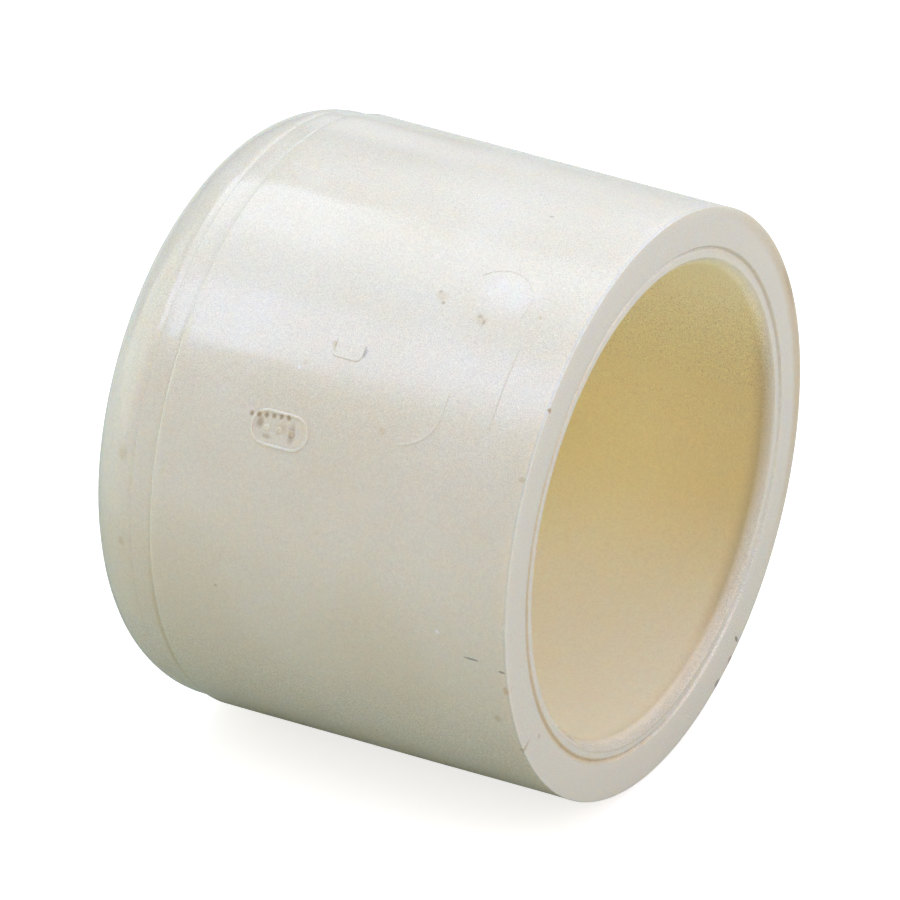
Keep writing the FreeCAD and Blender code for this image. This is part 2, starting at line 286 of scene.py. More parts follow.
def barrel_radius(station):
    """How far the barrel's skin is from the axis."""
    return RIM_RADIUS + station * math.tan(BARREL_DRAFT)


def outward(turn):
    """The direction away from the axis, at an angle from the top round the near side."""
    return Vector((0, -math.sin(turn), math.cos(turn)))


# ---------------------------------------------------------------- waves of the cooled surface
WAVE_LENGTH = 5.5 * MM
WAVE_DEPTH = 0.03 * MM


def let_it_sink():
    """Gives the outside the faint, slow waves that a thick wall takes on as it cools."""
    waves = bpy.data.textures.new("cooling_waves", "CLOUDS")
    waves.noise_scale = WAVE_LENGTH
    waves.noise_depth = 1
    outside = shell.vertex_groups.new(name="outside")
    inner_limit = (SOCKET_RADIUS + RIM_RADIUS) / 2
    flared = [
        point.index
        for point in shell.data.vertices
        if point.co.yz.length > inner_limit and point.co.x < -RIM_ROUND
    ]
    outside.add(flared, 1.0, "REPLACE")
    finish_with(
        shell, "DISPLACE", texture=waves, texture_coords="LOCAL",
        strength=WAVE_DEPTH, mid_level=1.0, vertex_group=outside.name,
    )


let_it_sink()

# ---------------------------------------------------------------- marks of the mould
HOVER = 0.4 * MM
MARK_ROOT = 0.05 * MM
LONGEST_MARK_RUN = 0.35 * MM
SAME_MARK_PLACE = 0.001 * MM


def sheet_over(name, station, turn, length, height):
    """A flat rectangle that hovers over the barrel, ready to be shaped."""
    spot = outward(turn) * (barrel_radius(station) + HOVER)
    spot.x = -station
    bpy.ops.mesh.primitive_plane_add(size=1, location=spot, rotation=(turn, 0, 0))
    piece = bpy.context.object
    piece.name = name
    piece.scale = (length, height, 1)
    settle(piece)
    bpy.ops.object.mode_set(mode="EDIT")
    bpy.ops.mesh.select_all(action="SELECT")
    return piece


def keep_beyond(spot, direction):
    """Cuts the piece being edited with a plane and keeps the side that the direction points to."""
    bpy.ops.mesh.select_all(action="SELECT")
    bpy.ops.mesh.bisect(plane_co=spot, plane_no=direction, clear_inner=True)


def lay_on_barrel(piece, stands, edge):
    """Wraps a flat sheet onto the barrel, gives it body down into the wall and softens its edges."""
    while pick(piece, "edges", lambda line: run_length(piece, line) > LONGEST_MARK_RUN):
        bpy.ops.mesh.subdivide(number_cuts=1)
    bpy.ops.object.mode_set(mode="OBJECT")
    finish_with(
        piece, "SHRINKWRAP", target=shell, wrap_method="NEAREST_SURFACEPOINT",
        wrap_mode="ABOVE_SURFACE", offset=stands,
    )
    finish_with(piece, "SOLIDIFY", thickness=stands + MARK_ROOT, offset=-1)
    finish_with(piece, "BEVEL", width=edge, segments=2, limit_method="ANGLE")
    return piece


def hollow_out(border):
    """Leaves only a border of the face being edited."""
    bpy.ops.mesh.select_mode(type="FACE")
    bpy.ops.mesh.select_all(action="SELECT")
    bpy.ops.mesh.inset(thickness=border, use_even_offset=True)
    bpy.ops.mesh.delete(type="FACE")


MARK_STATION = 12.44 * MM
MARK_TURN = math.radians(63)
MARK_LENGTH = 3.0 * MM
MARK_HEIGHT = 1.75 * MM
MARK_BORDER = 0.16 * MM
MARK_STANDS = 0.05 * MM
MARK_EDGE = 0.04 * MM
DOT_EDGE = 0.05 * MM
DOT_RADIUS = 0.17 * MM
DOT_PITCH = 0.62 * MM
DOT_COUNT = 3


def oval_border():
    """A raised oval ring."""
    piece = sheet_over("oval_border", MARK_STATION, MARK_TURN, MARK_LENGTH, MARK_HEIGHT)
    bpy.ops.mesh.bevel(offset=MARK_HEIGHT / 2, segments=20, affect="VERTICES", clamp_overlap=True)
    bpy.ops.mesh.remove_doubles(threshold=SAME_MARK_PLACE)
    hollow_out(MARK_BORDER)
    return lay_on_barrel(piece, MARK_STANDS, MARK_EDGE)


def oval_dots():
    """A plain row of raised dots inside the oval."""
    first = MARK_STATION - DOT_PITCH * (DOT_COUNT - 1) / 2
    size = 2 * DOT_RADIUS
    dots = []
    for number in range(DOT_COUNT):
        station = first + number * DOT_PITCH
        dot = sheet_over(f"oval_dot_{number + 1}", station, MARK_TURN, size, size)
        bpy.ops.mesh.bevel(offset=DOT_RADIUS, segments=8, affect="VERTICES")
        bpy.ops.mesh.remove_doubles(threshold=SAME_MARK_PLACE)
        dots.append(lay_on_barrel(dot, MARK_STANDS, DOT_EDGE))
    return dots


WITNESS_LINE = 0.13 * MM
WITNESS_STANDS = 0.028 * MM
WITNESS_EDGE = 0.02 * MM


def corner_witness():
    """The half-round top of a mould insert, on the upper near side."""
    length, height = 3.2 * MM, 6.0 * MM
    near_end, far_cut = 3.02 * MM, 5.9 * MM
    turn = math.radians(32.9)
    top_round, lower_cut_mm = 1.55 * MM, 0.6
    piece = sheet_over("corner_witness", near_end + length / 2, turn, length, height)
    upper = Vector((0, math.cos(turn), math.sin(turn)))
    pick(piece, "vertices", lambda point: point.co.dot(upper) > 0)
    bpy.ops.mesh.bevel(offset=top_round, segments=16, affect="VERTICES")
    hollow_out(WITNESS_LINE)
    keep_beyond((-far_cut, 0, 0), X_AXIS)
    keep_beyond(upper * lower_cut_mm * MM, upper)
    return lay_on_barrel(piece, WITNESS_STANDS, WITNESS_EDGE)


def side_witness():
    """The straight side of a plain insert beside it."""
    near_end, height = 2.45 * MM, 4.05 * MM
    turn = math.radians(44.8)
    piece = sheet_over("side_witness", near_end + WITNESS_LINE / 2, turn, WITNESS_LINE, height)
    return lay_on_barrel(piece, WITNESS_STANDS, WITNESS_EDGE)


def arc_witness():
    """The quarter-round corner of a third insert."""
    length, height = 5.0 * MM, 6.0 * MM
    near_end, far_cut = 4.85 * MM, 6.5 * MM
    turn = math.radians(48.3)
    corner_round = 2.0 * MM
    station = near_end + length / 2
    piece = sheet_over("arc_witness", station, turn, length, height)
    lower = Vector((0, -math.cos(turn), -math.sin(turn)))
    pick(piece, "vertices", lambda point: point.co.x > -station and point.co.dot(lower) > 0)
    bpy.ops.mesh.bevel(offset=corner_round, segments=12, affect="VERTICES")
    hollow_out(WITNESS_LINE)
    keep_beyond((-far_cut, 0, 0), X_AXIS)
    keep_beyond((0, 0, 0), lower)
    return lay_on_barrel(piece, WITNESS_STANDS, WITNESS_EDGE)


def small_cup():
    """Three sides of a small plain frame with rounded corners, open towards the top."""
    station, turn = 10.3 * MM, math.radians(45.2)
    length, height = 1.6 * MM, 1.05 * MM
    corner_round, line, upper_cut_mm = 0.35 * MM, 0.14 * MM, 0.3
    stands, edge = 0.04 * MM, 0.03 * MM
    piece = sheet_over("small_cup", station, turn, length, height)
    bpy.ops.mesh.bevel(offset=corner_round, segments=6, affect="VERTICES")
    hollow_out(line)
    lower = Vector((0, -math.cos(turn), -math.sin(turn)))
    keep_beyond(lower * -upper_cut_mm * MM, lower)
    return lay_on_barrel(piece, stands, edge)


CREASE = math.radians(35)


def mould_in(marks):
    """Makes the marks one with the shell."""
    for mark in marks:
        hold(shell)
        finish_with(shell, "BOOLEAN", object=mark, operation="UNION", solver="EXACT")
        bpy.data.objects.remove(mark)
    hold(shell)
    bpy.ops.object.mode_set(mode="EDIT")
    bpy.ops.mesh.select_all(action="SELECT")
    bpy.ops.mesh.delete_loose(use_verts=True, use_edges=True, use_faces=True)
    bpy.ops.object.mode_set(mode="OBJECT")
    bpy.ops.object.shade_smooth_by_angle(angle=CREASE)
    finish_with(shell, "WEIGHTED_NORMAL", keep_sharp=True)


mould_in(
    [oval_border(), *oval_dots(), corner_witness(), side_witness(), arc_witness(), small_cup()]
)

# ---------------------------------------------------------------- tools for the finish
# The colour sockets of a Mix node share their names with other sockets, so they go by number.
COLOUR_BELOW, COLOUR_ABOVE, MIXED_COLOUR = 6, 7, 2
BLACK = (0.0, 0.0, 0.0, 1)
WHITE = (1.0, 1.0, 1.0, 1)


def plug(tree, socket, value):
    """Feeds a node's input from another node, or sets it."""
    if isinstance(value, bpy.types.NodeSocket):
        tree.links.new(value, socket)
    else:
        socket.default_value = value


def maths(tree, operation, *values):
    """A maths node that is fed with the values in their order."""
    node = tree.nodes.new("ShaderNodeMath")
    node.operation = operation
    for socket, value in zip(node.inputs, values):
        plug(tree, socket, value)
    return node.outputs["Value"]


def vector_maths(tree, operation, *values):
    """The same for vectors. A length comes out as a plain number."""
    node = tree.nodes.new("ShaderNodeVectorMath")
    node.operation = operation
    for socket, value in zip(node.inputs, values):
        plug(tree, socket, value)
    return node.outputs["Value" if operation == "LENGTH" else "Vector"]


def fade(tree, value, start, end, low=0.0, high=1.0):
    """Goes smoothly from low to high as the value goes from start to end."""
    node = tree.nodes.new("ShaderNodeMapRange")
    node.interpolation_type = "SMOOTHSTEP"
    for name, given in (
        ("Value", value), ("From Min", start), ("From Max", end), ("To Min", low), ("To Max", high)
    ):
        plug(tree, node.inputs[name], given)
    return node.outputs["Result"]


def tint(tree, share, below, above):
    """Lays one colour over another."""
    node = tree.nodes.new("ShaderNodeMix")
    node.data_type = "RGBA"
    plug(tree, node.inputs["Factor"], share)
    plug(tree, node.inputs[COLOUR_BELOW], below)
    plug(tree, node.inputs[COLOUR_ABOVE], above)
    return node.outputs[MIXED_COLOUR]


def noise(tree, where, per_mm, detail=2.0, roughness=0.5):
    """Noise from 0 to 1, with so many features in a millimetre."""
    node = tree.nodes.new("ShaderNodeTexNoise")
    plug(tree, node.inputs["Vector"], where)
    node.inputs["Scale"].default_value = per_mm / MM
    node.inputs["Detail"].default_value = detail
    node.inputs["Roughness"].default_value = roughness
    return node.outputs["Fac"]


def new_group(name, inputs, outputs):
    """An empty node group with named sockets."""
    tree = bpy.data.node_groups.new(name, "ShaderNodeTree")
    for label, kind in inputs:
        tree.interface.new_socket(name=label, in_out="INPUT", socket_type=kind)
    for label, kind in outputs:
        tree.interface.new_socket(name=label, in_out="OUTPUT", socket_type=kind)
    return tree, tree.nodes.new("NodeGroupInput").outputs, tree.nodes.new("NodeGroupOutput").inputs


def parts_of(tree, value):
    """The three parts of a vector."""
    node = tree.nodes.new("ShaderNodeSeparateXYZ")
    plug(tree, node.inputs["Vector"], value)
    return [node.outputs[axis] for axis in ("X", "Y", "Z")]


def place_group():
    """Where a point lies on the cap: depth in mm, turn from the top in degrees, reach in mm."""
    tree, _, given = new_group("place_on_cap", [], [("Place", "NodeSocketVector")])
    here = tree.nodes.new("ShaderNodeTexCoord").outputs["Object"]
    along, across, up = parts_of(tree, here)
    depth = maths(tree, "MULTIPLY", along, -1 / MM)
    near = maths(tree, "MULTIPLY", across, -1.0)
    turn = maths(tree, "DEGREES", maths(tree, "ARCTAN2", near, up))
    flat = tree.nodes.new("ShaderNodeCombineXYZ")
    plug(tree, flat.inputs["Y"], across)
    plug(tree, flat.inputs["Z"], up)
    reach = maths(tree, "MULTIPLY", vector_maths(tree, "LENGTH", flat.outputs[0]), 1 / MM)
    place = tree.nodes.new("ShaderNodeCombineXYZ")
    for socket, value in zip(place.inputs, (depth, turn, reach)):
        plug(tree, socket, value)
    plug(tree, given["Place"], place.outputs[0])
    return tree


# Turns go round the cap and so are wrapped. Nothing lies a metre away, so the rest is left alone.
WRAP_HIGH = (1000.0, 180.0, 1000.0)
WRAP_LOW = (-1000.0, -180.0, -1000.0)
RAGGED_PER_MM = 2.5


def patch_group():
    """A soft-edged, slightly ragged spot round a place, as a mask."""
    tree, asked, given = new_group(
        "patch",
        [
            ("Place", "NodeSocketVector"),
            ("Centre", "NodeSocketVector"),
            ("Half Size", "NodeSocketVector"),
            ("Softness", "NodeSocketFloat"),
            ("Ragged", "NodeSocketFloat"),
        ],
        [("Mask", "NodeSocketFloat")],
    )
    apart = vector_maths(tree, "SUBTRACT", asked["Place"], asked["Centre"])
    wrapped = vector_maths(tree, "WRAP", apart, WRAP_HIGH, WRAP_LOW)
    distance = vector_maths(tree, "LENGTH", vector_maths(tree, "DIVIDE", wrapped, asked["Half Size"]))
    here = tree.nodes.new("ShaderNodeTexCoord").outputs["Object"]
    wobble = maths(tree, "SUBTRACT", noise(tree, here, RAGGED_PER_MM, 3.0), 0.5)
    ragged = maths(tree, "ADD", distance, maths(tree, "MULTIPLY", wobble, asked["Ragged"]))
    inner = maths(tree, "SUBTRACT", 1.0, asked["Softness"])
    outer = maths(tree, "ADD", 1.0, asked["Softness"])
    plug(tree, given["Mask"], fade(tree, ragged, inner, outer, 1.0, 0.0))
    return tree


PLACE = place_group()
PATCH = patch_group()


def patch(tree, place, centre, half_size, softness=0.5, ragged=0.6):
    """The mask of one spot: its centre and half sizes are a depth, a turn and a reach."""
    node = tree.nodes.new("ShaderNodeGroup")
    node.node_tree = PATCH
    for name, value in (
        ("Place", place), ("Centre", centre), ("Half Size", half_size),
        ("Softness", softness), ("Ragged", ragged),
    ):
        plug(tree, node.inputs[name], value)
    return node.outputs["Mask"]


# ---------------------------------------------------------------- colours, stains and painted light
IVORY = (0.86, 0.82, 0.71, 1)
IVORY_WARM = (0.84, 0.79, 0.66, 1)
# The bore's yellows carry painted light and shade: darker at the mouth and the lip, lighter deeper in
# and high up, paler low down.
SHADED_LIP_YELLOW = (0.61, 0.54, 0.35, 1)
SHADED_MOUTH_YELLOW = (0.86, 0.76, 0.45, 1)
LIT_DEEP_YELLOW = (0.97, 0.845, 0.525, 1)
LIT_HIGH_YELLOW = (1.0, 0.93, 0.62, 1)
LIT_LOW_YELLOW = (1.0, 0.95, 0.86, 1)
# Painted shade: greyer ivories for the rim's face and the lead-in, the second for low in the lead-in.
SHADED_RIM_IVORY = (0.742, 0.745, 0.692, 1)
SHADED_LEAD_IN_IVORY = (0.63, 0.62, 0.555, 1)
ROSY = (1.0, 0.988, 0.972, 1)
GREENISH = (0.985, 0.998, 1.0, 1)
# Painted glow: a faint yellow light that the bore's upper wall gives off, for light coming through the
# wall.
PAINTED_GLOW = (0.085, 0.071, 0.045, 1)
BROWN = (0.36, 0.24, 0.09, 1)
TAN = (0.58, 0.43, 0.19, 1)
GREY = (0.16, 0.14, 0.11, 1)

# Each spot's centre and half sizes, as a depth in mm, a turn in degrees and a reach in mm, then
# its strength, softness and colour. The first five lie in the ring, on the rim and in the seam.
STAINS_AND_GLINTS = (
    ((0.05, 102, 12.02), (0.4, 78, 0.16), 0.55, 0.45, TAN),
    ((0.05, -52, 11.95), (0.4, 38, 0.16), 0.20, 0.45, TAN),
    ((0.10, -78, 13.62), (0.5, 36, 0.36), 0.46, 0.7, TAN),
    ((0.10, -66, 13.75), (0.4, 5, 0.18), 0.30, 0.6, BROWN),
    ((18.50, 126, 13.9), (0.20, 26, 0.8), 0.28, 0.5, TAN),
    ((0.00, 46.5, 13.87), (0.12, 0.45, 0.12), 0.75, 0.3, BROWN),
    ((0.00, -143.9, 13.52), (0.12, 0.4, 0.22), 0.70, 0.3, GREY),
    ((0.00, -147.9, 13.84), (0.12, 0.8, 0.14), 0.50, 0.4, GREY),
    ((0.00, -153.8, 13.80), (0.12, 1.0, 0.16), 0.55, 0.4, GREY),
    ((0.00, 121.3, 12.72), (0.12, 0.6, 0.12), 0.30, 0.5, BROWN),
    ((1.83, 96.9, 13.97), (0.36, 0.22, 0.5), 0.60, 0.3, GREY),
    ((0.28, 98.0, 13.95), (0.16, 0.25, 0.5), 0.60, 0.3, GREY),
    ((0.16, 102.3, 13.95), (0.14, 0.9, 0.5), 0.45, 0.5, TAN),
    ((0.90, 110.4, 13.95), (0.15, 0.8, 0.5), 0.40, 0.6, TAN),
    ((0.05, 118.5, 13.90), (0.15, 0.5, 0.5), 0.40, 0.6, BROWN),
    ((0.25, 60.0, 13.95), (0.16, 0.5, 0.5), 0.28, 0.6, BROWN),
    ((20.12, 75.2, 13.9), (0.22, 1.3, 0.5), 0.26, 0.7, TAN),
    ((20.02, 92.8, 13.9), (0.16, 0.9, 0.5), 0.30, 0.6, TAN),
    ((7.15, 30.6, 14.0), (0.28, 0.85, 0.5), 0.30, 0.8, TAN),
    ((7.32, 29.7, 14.0), (0.09, 0.40, 0.5), 0.38, 0.5, BROWN),
    ((6.95, 31.8, 14.0), (0.08, 0.35, 0.5), 0.50, 0.5, BROWN),
    ((4.90, 33.1, 14.0), (0.26, 0.90, 0.5), 0.30, 0.8, TAN),
    ((4.98, 32.5, 14.0), (0.09, 0.45, 0.5), 0.35, 0.5, BROWN),
    ((4.68, 33.6, 14.0), (0.07, 0.55, 0.5), 0.45, 0.5, BROWN),
    ((2.30, 29.6, 14.0), (0.10, 0.35, 0.5), 0.38, 0.6, TAN),
    ((11.05, 45.0, 14.0), (0.12, 0.5, 0.5), 0.40, 0.6, TAN),
    ((12.10, 49.6, 14.0), (0.12, 0.5, 0.5), 0.22, 0.7, TAN),
    ((9.45, 45.2, 14.0), (0.07, 0.80, 0.5), 0.38, 0.5, GREY),
    ((7.48, 58.2, 14.0), (0.15, 0.6, 0.5), 0.25, 0.7, TAN),
    ((4.95, 4.5, 14.0), (0.08, 0.3, 0.5), 0.40, 0.5, GREY),
    ((14.99, 96.2, 14.1), (0.08, 0.3, 0.5), 0.30, 0.5, GREY),
    ((13.45, 62.4, 14.0), (0.16, 0.9, 0.6), 0.50, 0.6, BROWN),
    ((13.00, 64.6, 14.0), (0.22, 0.4, 0.6), 0.34, 0.6, BROWN),
    ((11.80, 62.9, 14.0), (0.15, 1.7, 0.6), 0.40, 0.6, BROWN),
    ((12.35, 62.6, 14.0), (0.30, 0.9, 0.6), 0.26, 0.7, TAN),
    # The last three are white: a painted highlight on the tilted face inside the corner witness, a
    # painted glint on the near side by the rim, and a small white spot near the oval.
    ((4.15, 26.3, 14.0), (1.35, 4.2, 0.6), 0.30, 0.6, WHITE),
    ((3.50, 92.9, 13.97), (0.09, 0.35, 0.5), 0.95, 0.3, WHITE),
    ((12.33, 50.9, 14.0), (0.07, 0.3, 0.5), 0.80, 0.3, WHITE),
)
# A row of specks near the oval's upper border, from its far end.
SPECK_COUNT = 6
SPECK_START = Vector((13.95, 61.2, 14.0))
SPECK_PITCH = Vector((-0.37, -0.18, 0.0))
SPECK_SIZE = (0.10, 0.50, 0.6)
BORDER_SPECKS = [
    (SPECK_START + SPECK_PITCH * number, SPECK_SIZE, 0.62, 0.5, BROWN)
    for number in range(SPECK_COUNT)
]
DULL_PATCH = ((8.3, 20, 14.0), (2.3, 8.0, 0.6), 1.0, 0.8)

# ---------------------------------------------------------------- the finish
# Features in a millimetre.
WARMTH_PER_MM = 0.16
SAND_PER_MM = 22.0
GRAIN_PER_MM = 6.0
MOTTLE_PER_MM = 1.3
SATIN_PER_MM = 0.5
PEEL_PER_MM = 0.8

# Where a change starts and where it is complete, in mm. A depth is measured from the rim into the
# cap, a level up from the axis, a reach out from the axis, and a way in from the mouth's edge.
MOUTH_REACHES = (MOUTH_RADIUS / MM + 0.16, MOUTH_RADIUS / MM + 0.04)
RIM_DEPTHS = (0.2, 0.1)
LEAD_IN_DEPTHS = (0.9, 0.5)
LEAD_IN_LEVELS = (-6.5, -10.0)
INNER_END_DEPTHS = (FLOOR_DEPTH / MM + 0.5, FLOOR_DEPTH / MM + 0.2)
DEEP_DEPTHS = (0.5, 8.0)
HIGH_LEVELS = (0.0, 8.0)
LOW_LEVELS = (-4.0, -11.0)
LIP_DEPTHS = (1.3, 0.2)
LIP_LEVELS = (6.5, 1.0)
LIP_FOOT_LEVELS = (-10.5, -8.0)
PAINTED_GLOW_LEVELS = (1.0, 9.0)
BORE_SAND_LEVELS = (-4.0, 6.0)
LOW_SAND_LEVELS = (-3.0, -8.0)
TOP_SAND_LEVELS = (4.0, 10.0)
CRISP_DEPTHS = (9.0, 14.5)
GRIT_DEPTHS = (7.0, 14.0)

# The bore's colour starts at one way in, and is complete sooner high up than low down.
YELLOW_STARTS = -0.15
YELLOW_LEVELS = (-9.0, -2.0)
YELLOW_COMPLETE = (1.5, 0.9)

# Between which values of the noise a change runs.
WARMTH_NOISE = (0.35, 0.65)
MOTTLE_NOISE = (0.38, 0.62)
SATIN_NOISE = (0.3, 0.7)

# How strong each effect is.
HIGH_SHARE = 0.8
LOW_SHARE = 0.85
LIP_FOOT_SHARE = 0.3
BORE_SAND = 1.6
LOW_SAND = 0.9
TOP_SAND = 0.45
LEAST_SAND = 0.35
GRAIN = 0.14
SATIN_ROUGHNESS = (0.17, 0.23)
DULL_ROUGHNESS = 0.06
CRISP_ROUGHNESS = 0.09
BORE_ROUGHNESS = 0.2
GRIT_RELIEF = (2.6, 0.8)
PEEL_RELIEF = 4.0
RELIEF_UNIT = 0.0012 * MM
PLASTIC_IOR = 1.5
SEE_THROUGH = 0.3 * MM
SEE_THROUGH_COLOURS = (1.0, 0.8, 0.5)


def bore_colour(tree, depth, level):
    """Yellow with painted light and shade: lighter deeper in, lighter high up and paler low down, and
    darker at the lip.
    """
    # Painted light: the yellow is lighter deeper in, lighter high up and paler low down.
    yellow = tint(tree, fade(tree, depth, *DEEP_DEPTHS), SHADED_MOUTH_YELLOW, LIT_DEEP_YELLOW)
    high = maths(tree, "MULTIPLY", fade(tree, level, *HIGH_LEVELS), HIGH_SHARE)
    yellow = tint(tree, high, yellow, LIT_HIGH_YELLOW)
    low = maths(tree, "MULTIPLY", fade(tree, level, *LOW_LEVELS), LOW_SHARE)
    yellow = tint(tree, low, yellow, LIT_LOW_YELLOW)
    # Painted shade: darker at the lip, except high up, and weaker at the very bottom.
    lip = maths(tree, "MULTIPLY", fade(tree, depth, *LIP_DEPTHS), fade(tree, level, *LIP_LEVELS))
    lip = maths(tree, "MULTIPLY", lip, fade(tree, level, *LIP_FOOT_LEVELS, LIP_FOOT_SHARE, 1.0))
    return tint(tree, lip, yellow, SHADED_LIP_YELLOW)


def skin_colour(tree, here, depth, level, in_mouth):
    """Ivory of two warmths, with painted shade that makes the rim's face and the lead-in greyer, and
    the lead-in darker low down.
    """
    warmth = fade(tree, noise(tree, here, WARMTH_PER_MM, 2.0), *WARMTH_NOISE)
    colour = tint(tree, warmth, IVORY, IVORY_WARM)
    # Painted shade on the rim's face and in the lead-in, darker low in the lead-in.
    rim_shade = fade(tree, depth, *RIM_DEPTHS)
    on_lead_in = maths(tree, "MULTIPLY", in_mouth, fade(tree, depth, *LEAD_IN_DEPTHS))
    colour = tint(tree, maths(tree, "MAXIMUM", rim_shade, on_lead_in), colour, SHADED_RIM_IVORY)
    low_lead_in_shade = maths(tree, "MULTIPLY", on_lead_in, fade(tree, level, *LEAD_IN_LEVELS))
    return tint(tree, low_lead_in_shade, colour, SHADED_LEAD_IN_IVORY)


def speckle(tree, here, sand, inside, level):
    """How much lighter or darker each point is: fine sand, coarser grain, strongest in the bore."""
    bore_sand = fade(tree, level, *BORE_SAND_LEVELS, 0.0, BORE_SAND)
    low_sand = fade(tree, level, *LOW_SAND_LEVELS, 0.0, LOW_SAND)
    top_sand = fade(tree, level, *TOP_SAND_LEVELS, 0.0, TOP_SAND)
    outside = maths(tree, "SUBTRACT", 1.0, inside)
    skin_sand = maths(tree, "MULTIPLY", maths(tree, "ADD", low_sand, top_sand), outside)
    bore_sand = maths(tree, "MULTIPLY", inside, bore_sand)
    sandy = maths(tree, "ADD", maths(tree, "MAXIMUM", bore_sand, skin_sand), LEAST_SAND)
    grain = maths(tree, "MULTIPLY", noise(tree, here, GRAIN_PER_MM, 2.0), GRAIN)
    # Sand and grain average a half, so half of each one's strength is taken off again.
    spread = maths(tree, "MULTIPLY_ADD", sand, sandy, grain)
    middle = maths(tree, "MULTIPLY_ADD", sandy, -0.5, 1.0 - GRAIN / 2)
    return maths(tree, "ADD", spread, middle)


def roughness(tree, here, place, depth, inside):
    """Satin, with one dull patch, crisper towards the seam and duller in the bore."""
    satin = fade(tree, noise(tree, here, SATIN_PER_MM, 3.0), *SATIN_NOISE, *SATIN_ROUGHNESS)
    dull = maths(tree, "MULTIPLY", patch(tree, place, *DULL_PATCH), DULL_ROUGHNESS)
    crisp = fade(tree, depth, *CRISP_DEPTHS, 0.0, CRISP_ROUGHNESS)
    rough = maths(tree, "SUBTRACT", maths(tree, "ADD", satin, dull), crisp)
    return maths(tree, "ADD", rough, maths(tree, "MULTIPLY", inside, BORE_ROUGHNESS))


def ivory_plastic():
    """Softly glossy, slightly see-through ivory, yellower inside, with fine grain, small stains,
    painted highlights, painted light and shade in the bore and on the rim, and a painted glow in the
    bore.
    """
    material = bpy.data.materials.new("ivory_plastic")
    material.use_nodes = True
    tree = material.node_tree
    surface = tree.nodes["Principled BSDF"]
    surface.inputs["IOR"].default_value = PLASTIC_IOR
    surface.inputs["Subsurface Weight"].default_value = 1.0
    surface.inputs["Subsurface Radius"].default_value = SEE_THROUGH_COLOURS
    surface.inputs["Subsurface Scale"].default_value = SEE_THROUGH

    where = tree.nodes.new("ShaderNodeGroup")
    where.node_tree = PLACE
    place = where.outputs["Place"]
    depth, _, reach = parts_of(tree, place)
    here = tree.nodes.new("ShaderNodeTexCoord").outputs["Object"]
    _, _, up = parts_of(tree, here)
    level = maths(tree, "MULTIPLY", up, 1 / MM)
    in_mouth = fade(tree, reach, *MOUTH_REACHES)
    way_in = maths(tree, "ADD", maths(tree, "SUBTRACT", MOUTH_RADIUS / MM, reach), depth)
    complete = fade(tree, level, *YELLOW_LEVELS, *YELLOW_COMPLETE)
    past_lip = fade(tree, way_in, YELLOW_STARTS, complete)
    inside = maths(tree, "MULTIPLY", past_lip, in_mouth)
    inside = maths(tree, "MULTIPLY", inside, fade(tree, depth, *INNER_END_DEPTHS))

    colour = skin_colour(tree, here, depth, level, in_mouth)
    colour = tint(tree, inside, colour, bore_colour(tree, depth, level))
    for centre, half_size, strength, softness, spot_colour in (*STAINS_AND_GLINTS, *BORDER_SPECKS):
        mask = patch(tree, place, centre, half_size, softness)
        colour = tint(tree, maths(tree, "MULTIPLY", mask, strength), colour, spot_colour)
    mottle = fade(tree, noise(tree, here, MOTTLE_PER_MM, 2.0, 0.6), *MOTTLE_NOISE)
    hue = tint(tree, mottle, ROSY, GREENISH)
    sand = noise(tree, here, SAND_PER_MM, 1.0)
    shaded = tree.nodes.new("ShaderNodeVectorMath")
    shaded.operation = "SCALE"
    plug(tree, shaded.inputs[0], vector_maths(tree, "MULTIPLY", colour, hue))
    plug(tree, shaded.inputs["Scale"], speckle(tree, here, sand, inside, level))
    plug(tree, surface.inputs["Base Color"], shaded.outputs[0])

    # Painted glow: the upper bore emits a faint yellow light, speckled with the sand, for light that
    # comes through the wall.
    painted_glow_mask = maths(tree, "MULTIPLY", inside, fade(tree, level, *PAINTED_GLOW_LEVELS))
    even_sand = maths(tree, "MULTIPLY", sand, 2.0)
    speckled = maths(tree, "MULTIPLY", painted_glow_mask, even_sand)
    plug(tree, surface.inputs["Emission Color"], tint(tree, speckled, BLACK, PAINTED_GLOW))
    surface.inputs["Emission Strength"].default_value = 1.0

    plug(tree, surface.inputs["Roughness"], roughness(tree, here, place, depth, inside))
    peel = noise(tree, here, PEEL_PER_MM, 2.0)
    gritty = maths(tree, "MULTIPLY", sand, fade(tree, depth, *GRIT_DEPTHS, *GRIT_RELIEF))
    bump = tree.nodes.new("ShaderNodeBump")
    bump.inputs["Strength"].default_value = 1.0
    bump.inputs["Distance"].default_value = RELIEF_UNIT
    plug(tree, bump.inputs["Height"], maths(tree, "MULTIPLY_ADD", peel, PEEL_RELIEF, gritty))
    plug(tree, surface.inputs["Normal"], bump.outputs["Normal"])
    return material


shell.data.materials.append(ivory_plastic())

# ---------------------------------------------------------------- floor, light and camera
FLOOR_SIZE = 2.0
FLOOR_SEEN = (0.6325, 0.621, 0.598, 1)
FLOOR_SEEN_GLOW = (0.72, 0.72, 0.72, 1)
FLOOR_LIT = (0.41, 0.455, 0.38, 1)
FLOOR_MIRRORED = (0.26, 0.26, 0.29, 1)
ROOM_MIRRORED = (0.24, 0.25, 0.32, 1)
ROOM_LIT = (0.01, 0.01, 0.01, 1)
SHADE_END = 64 * MM


def seen_or_lit(tree, seen, mirrored, lit):
    """One colour for what the camera sees, one for reflections and one for the light that bounces."""
    rays = tree.nodes.new("ShaderNodeLightPath")
    unseen = tint(tree, rays.outputs["Is Glossy Ray"], lit, mirrored)
    return tint(tree, rays.outputs["Is Camera Ray"], unseen, seen)


